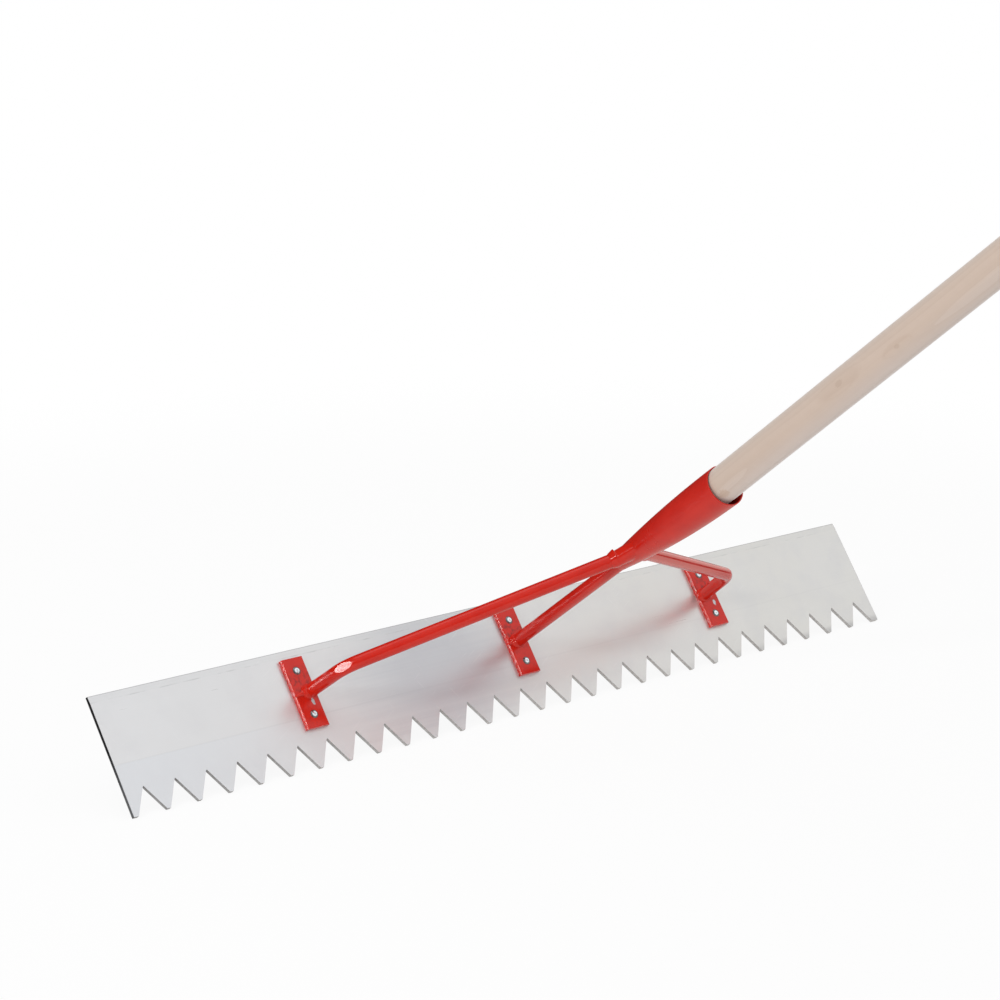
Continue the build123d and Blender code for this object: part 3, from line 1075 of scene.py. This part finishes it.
FLOOR_SIZE = 160
FLOOR_PAINT = (0.84, 0.84, 0.84, 1)
FLOOR_IN_GLOSS = (0.88, 0.83, 0.76, 1)
FLOOR_DARK_IN_GLOSS = (0.03, 0.03, 0.03, 1)
FLOOR_SHADOW_FADE = (0.9, 1.8, 0.91, 1.0)
FLOOR_DARK_SLANT = 0.6
FLOOR_DARK_BEHIND = (-0.05, 0.55)
FLOOR_GAP_STARTS = (0.62, 0.72)
FLOOR_GAP_ENDS = (1.10, 1.4)
WHITE = (1, 1, 1, 1)
WALL_GREY = (0.06, 0.06, 0.06, 1)
# Soft patches of the surroundings in reflections: direction, where they start and are full, level
WALL_PATCHES = (
    ((0.62, -0.44, 0.65), 0.10, 0.80, 0.94),
    ((-0.10, 0.98, 0.17), 0.35, 0.80, 0.03),
    ((0.92, 0.35, 0.16), 0.80, 0.95, 1.30),
    ((-0.05, 0.14, 0.99), 0.93, 0.98, 1.25),
)
AIR_FRONT = (0.35, -0.75, 0.56)
AIR_FRONT_FADE = (-0.4, 0.9)
AIR_BEHIND_LEVEL = (0.43, 0.43, 0.43, 1)
AIR_FRONT_LEVEL = (0.94, 0.94, 0.94, 1)
LEFT_BEND = (-0.262, -0.010, 0.095)
# Soft boxes: place, point looked at, width and height, watts, roll in degrees
LEFT_STRIP = ((-3.437, -0.759, 1.618), LEFT_BEND, (2.41, 0.20), 46, 36.8)
LEFT_GLINT = ((-6.10, -1.53, 5.37), LEFT_BEND, (1.5, 1.5), 170, 0.0)
TOP_BOX = ((-0.6, 1.2, 3.4), (0, -0.2, 0.1), (2.6, 1.0), 12, 0.0)
GLINT_CATCHERS = (
    "toothed_blade",
    "plate_left",
    "plate_centre",
    "plate_right",
    "brace_left",
    "brace_right",
)
EYE_LENS = 103.1617
EYE_SENSOR = 36.0
EYE_CLIP = 300.0
EYE_PLACE = (-1.836843, -2.130602, 0.925536)
EYE_TURN = (75.97346, 0.07906, -39.91370)


def soft_light(name, place, target, size, power, roll):
    """Soft box that looks at a point, rolled about its own axis."""
    lamp = bpy.data.lights.new(name, "AREA")
    lamp.shape = "RECTANGLE"
    lamp.size, lamp.size_y = size
    lamp.energy = power
    stand = bpy.data.objects.new(name, lamp)
    bpy.context.scene.collection.objects.link(stand)
    stand.location = place
    aim = (Vector(target) - Vector(place)).to_track_quat("-Z", "Y").to_matrix()
    stand.rotation_euler = (aim @ Matrix.Rotation(math.radians(roll), 3, "Z")).to_euler()
    return stand


def white_floor():
    """Wide pale floor that shows as white and keeps a faint shadow."""
    clear_selection()
    bpy.ops.mesh.primitive_plane_add(size=FLOOR_SIZE, location=(0, 0, 0))
    floor = bpy.context.object
    floor.name = "studio_floor"
    finish, tree, shader = new_finish("white_floor")
    shader.inputs["Base Color"].default_value = FLOOR_PAINT
    shader.inputs["Roughness"].default_value = 0.9
    shader.inputs["Specular IOR Level"].default_value = 0.0
    rays = tree.nodes.new("ShaderNodeLightPath").outputs
    mirrored = larger(tree, rays["Is Glossy Ray"], rays["Is Transmission Ray"])
    seen = larger(tree, rays["Is Camera Ray"], mirrored)
    spot = tree.nodes.new("ShaderNodeTexCoord").outputs["Object"]
    x, y, _ = parts_of(tree, spot)
    slanting = minus(tree, y, times(tree, x, FLOOR_DARK_SLANT))
    behind = ramp(tree, slanting, *FLOOR_DARK_BEHIND)
    gap = minus(tree, ramp(tree, x, *FLOOR_GAP_STARTS), ramp(tree, x, *FLOOR_GAP_ENDS))
    dark = larger(tree, behind, gap)
    shown = blend(tree, rays["Is Glossy Ray"], WHITE, FLOOR_IN_GLOSS)
    shown = tint(tree, shown, dark, rays["Is Glossy Ray"], FLOOR_DARK_IN_GLOSS)
    glow = add(tree, "ShaderNodeEmission", {"Color": shown, "Strength": 1.0}).outputs[0]
    reach = vectors(tree, "LENGTH", spot)
    share = times(tree, seen, ramp(tree, reach, *FLOOR_SHADOW_FADE))
    mixed = add(tree, "ShaderNodeMixShader", {0: share, 1: shader.outputs[0], 2: glow})
    output = next(node for node in tree.nodes if node.type == "OUTPUT_MATERIAL")
    tree.links.new(mixed.outputs[0], output.inputs["Surface"])
    floor.data.materials.append(finish)


def studio_air():
    """Even white surroundings for the camera, softer ones for light and reflections."""
    world = bpy.data.worlds.new("studio_air")
    bpy.context.scene.world = world
    world.use_nodes = True
    tree = world.node_tree
    tree.nodes.clear()
    way = tree.nodes.new("ShaderNodeTexCoord").outputs["Generated"]
    walls = WALL_GREY
    for toward, start, full, level in WALL_PATCHES:
        share = ramp(tree, vectors(tree, "DOT_PRODUCT", way, toward), start, full)
        walls = blend(tree, share, walls, (level, level, level, 1))
    rays = tree.nodes.new("ShaderNodeLightPath").outputs
    front = ramp(tree, vectors(tree, "DOT_PRODUCT", way, AIR_FRONT), *AIR_FRONT_FADE)
    lit = blend(tree, front, AIR_BEHIND_LEVEL, AIR_FRONT_LEVEL)
    colour = blend(tree, rays["Is Glossy Ray"], lit, walls)
    seen = larger(tree, rays["Is Camera Ray"], rays["Is Transmission Ray"])
    colour = blend(tree, seen, colour, WHITE)
    sky = add(tree, "ShaderNodeBackground", {"Color": colour, "Strength": 1.0})
    output = tree.nodes.new("ShaderNodeOutputWorld")
    tree.links.new(sky.outputs[0], output.inputs["Surface"])


def studio_lamps():
    """Long strip and glint from the left, soft box above; the glint lights only what mirrors it."""
    soft_light("left_strip", *LEFT_STRIP)
    left_glint = soft_light("left_glint", *LEFT_GLINT)
    left_glint.visible_diffuse = False
    catchers = bpy.data.collections.new("glint_catchers")
    for piece in [frame["nodes"][node] for node in GLINT_CATCHERS] + foot_beads:
        catchers.objects.link(piece)
    left_glint.light_linking.receiver_collection = catchers
    top_box = soft_light("top_box", *TOP_BOX)
    top_box.visible_glossy = False


def studio_eye():
    """Camera where the photograph was taken from."""
    eye = bpy.data.cameras.new("eye")
    eye.lens = EYE_LENS
    eye.sensor_width = EYE_SENSOR
    eye.clip_end = EYE_CLIP
    stand = bpy.data.objects.new("eye", eye)
    bpy.context.scene.collection.objects.link(stand)
    stand.location = EYE_PLACE
    stand.rotation_euler = [math.radians(degrees) for degrees in EYE_TURN]
    bpy.context.scene.camera = stand


white_floor()
studio_air()
studio_lamps()
studio_eye()
bpy.context.scene.view_settings.view_transform = "Standard"
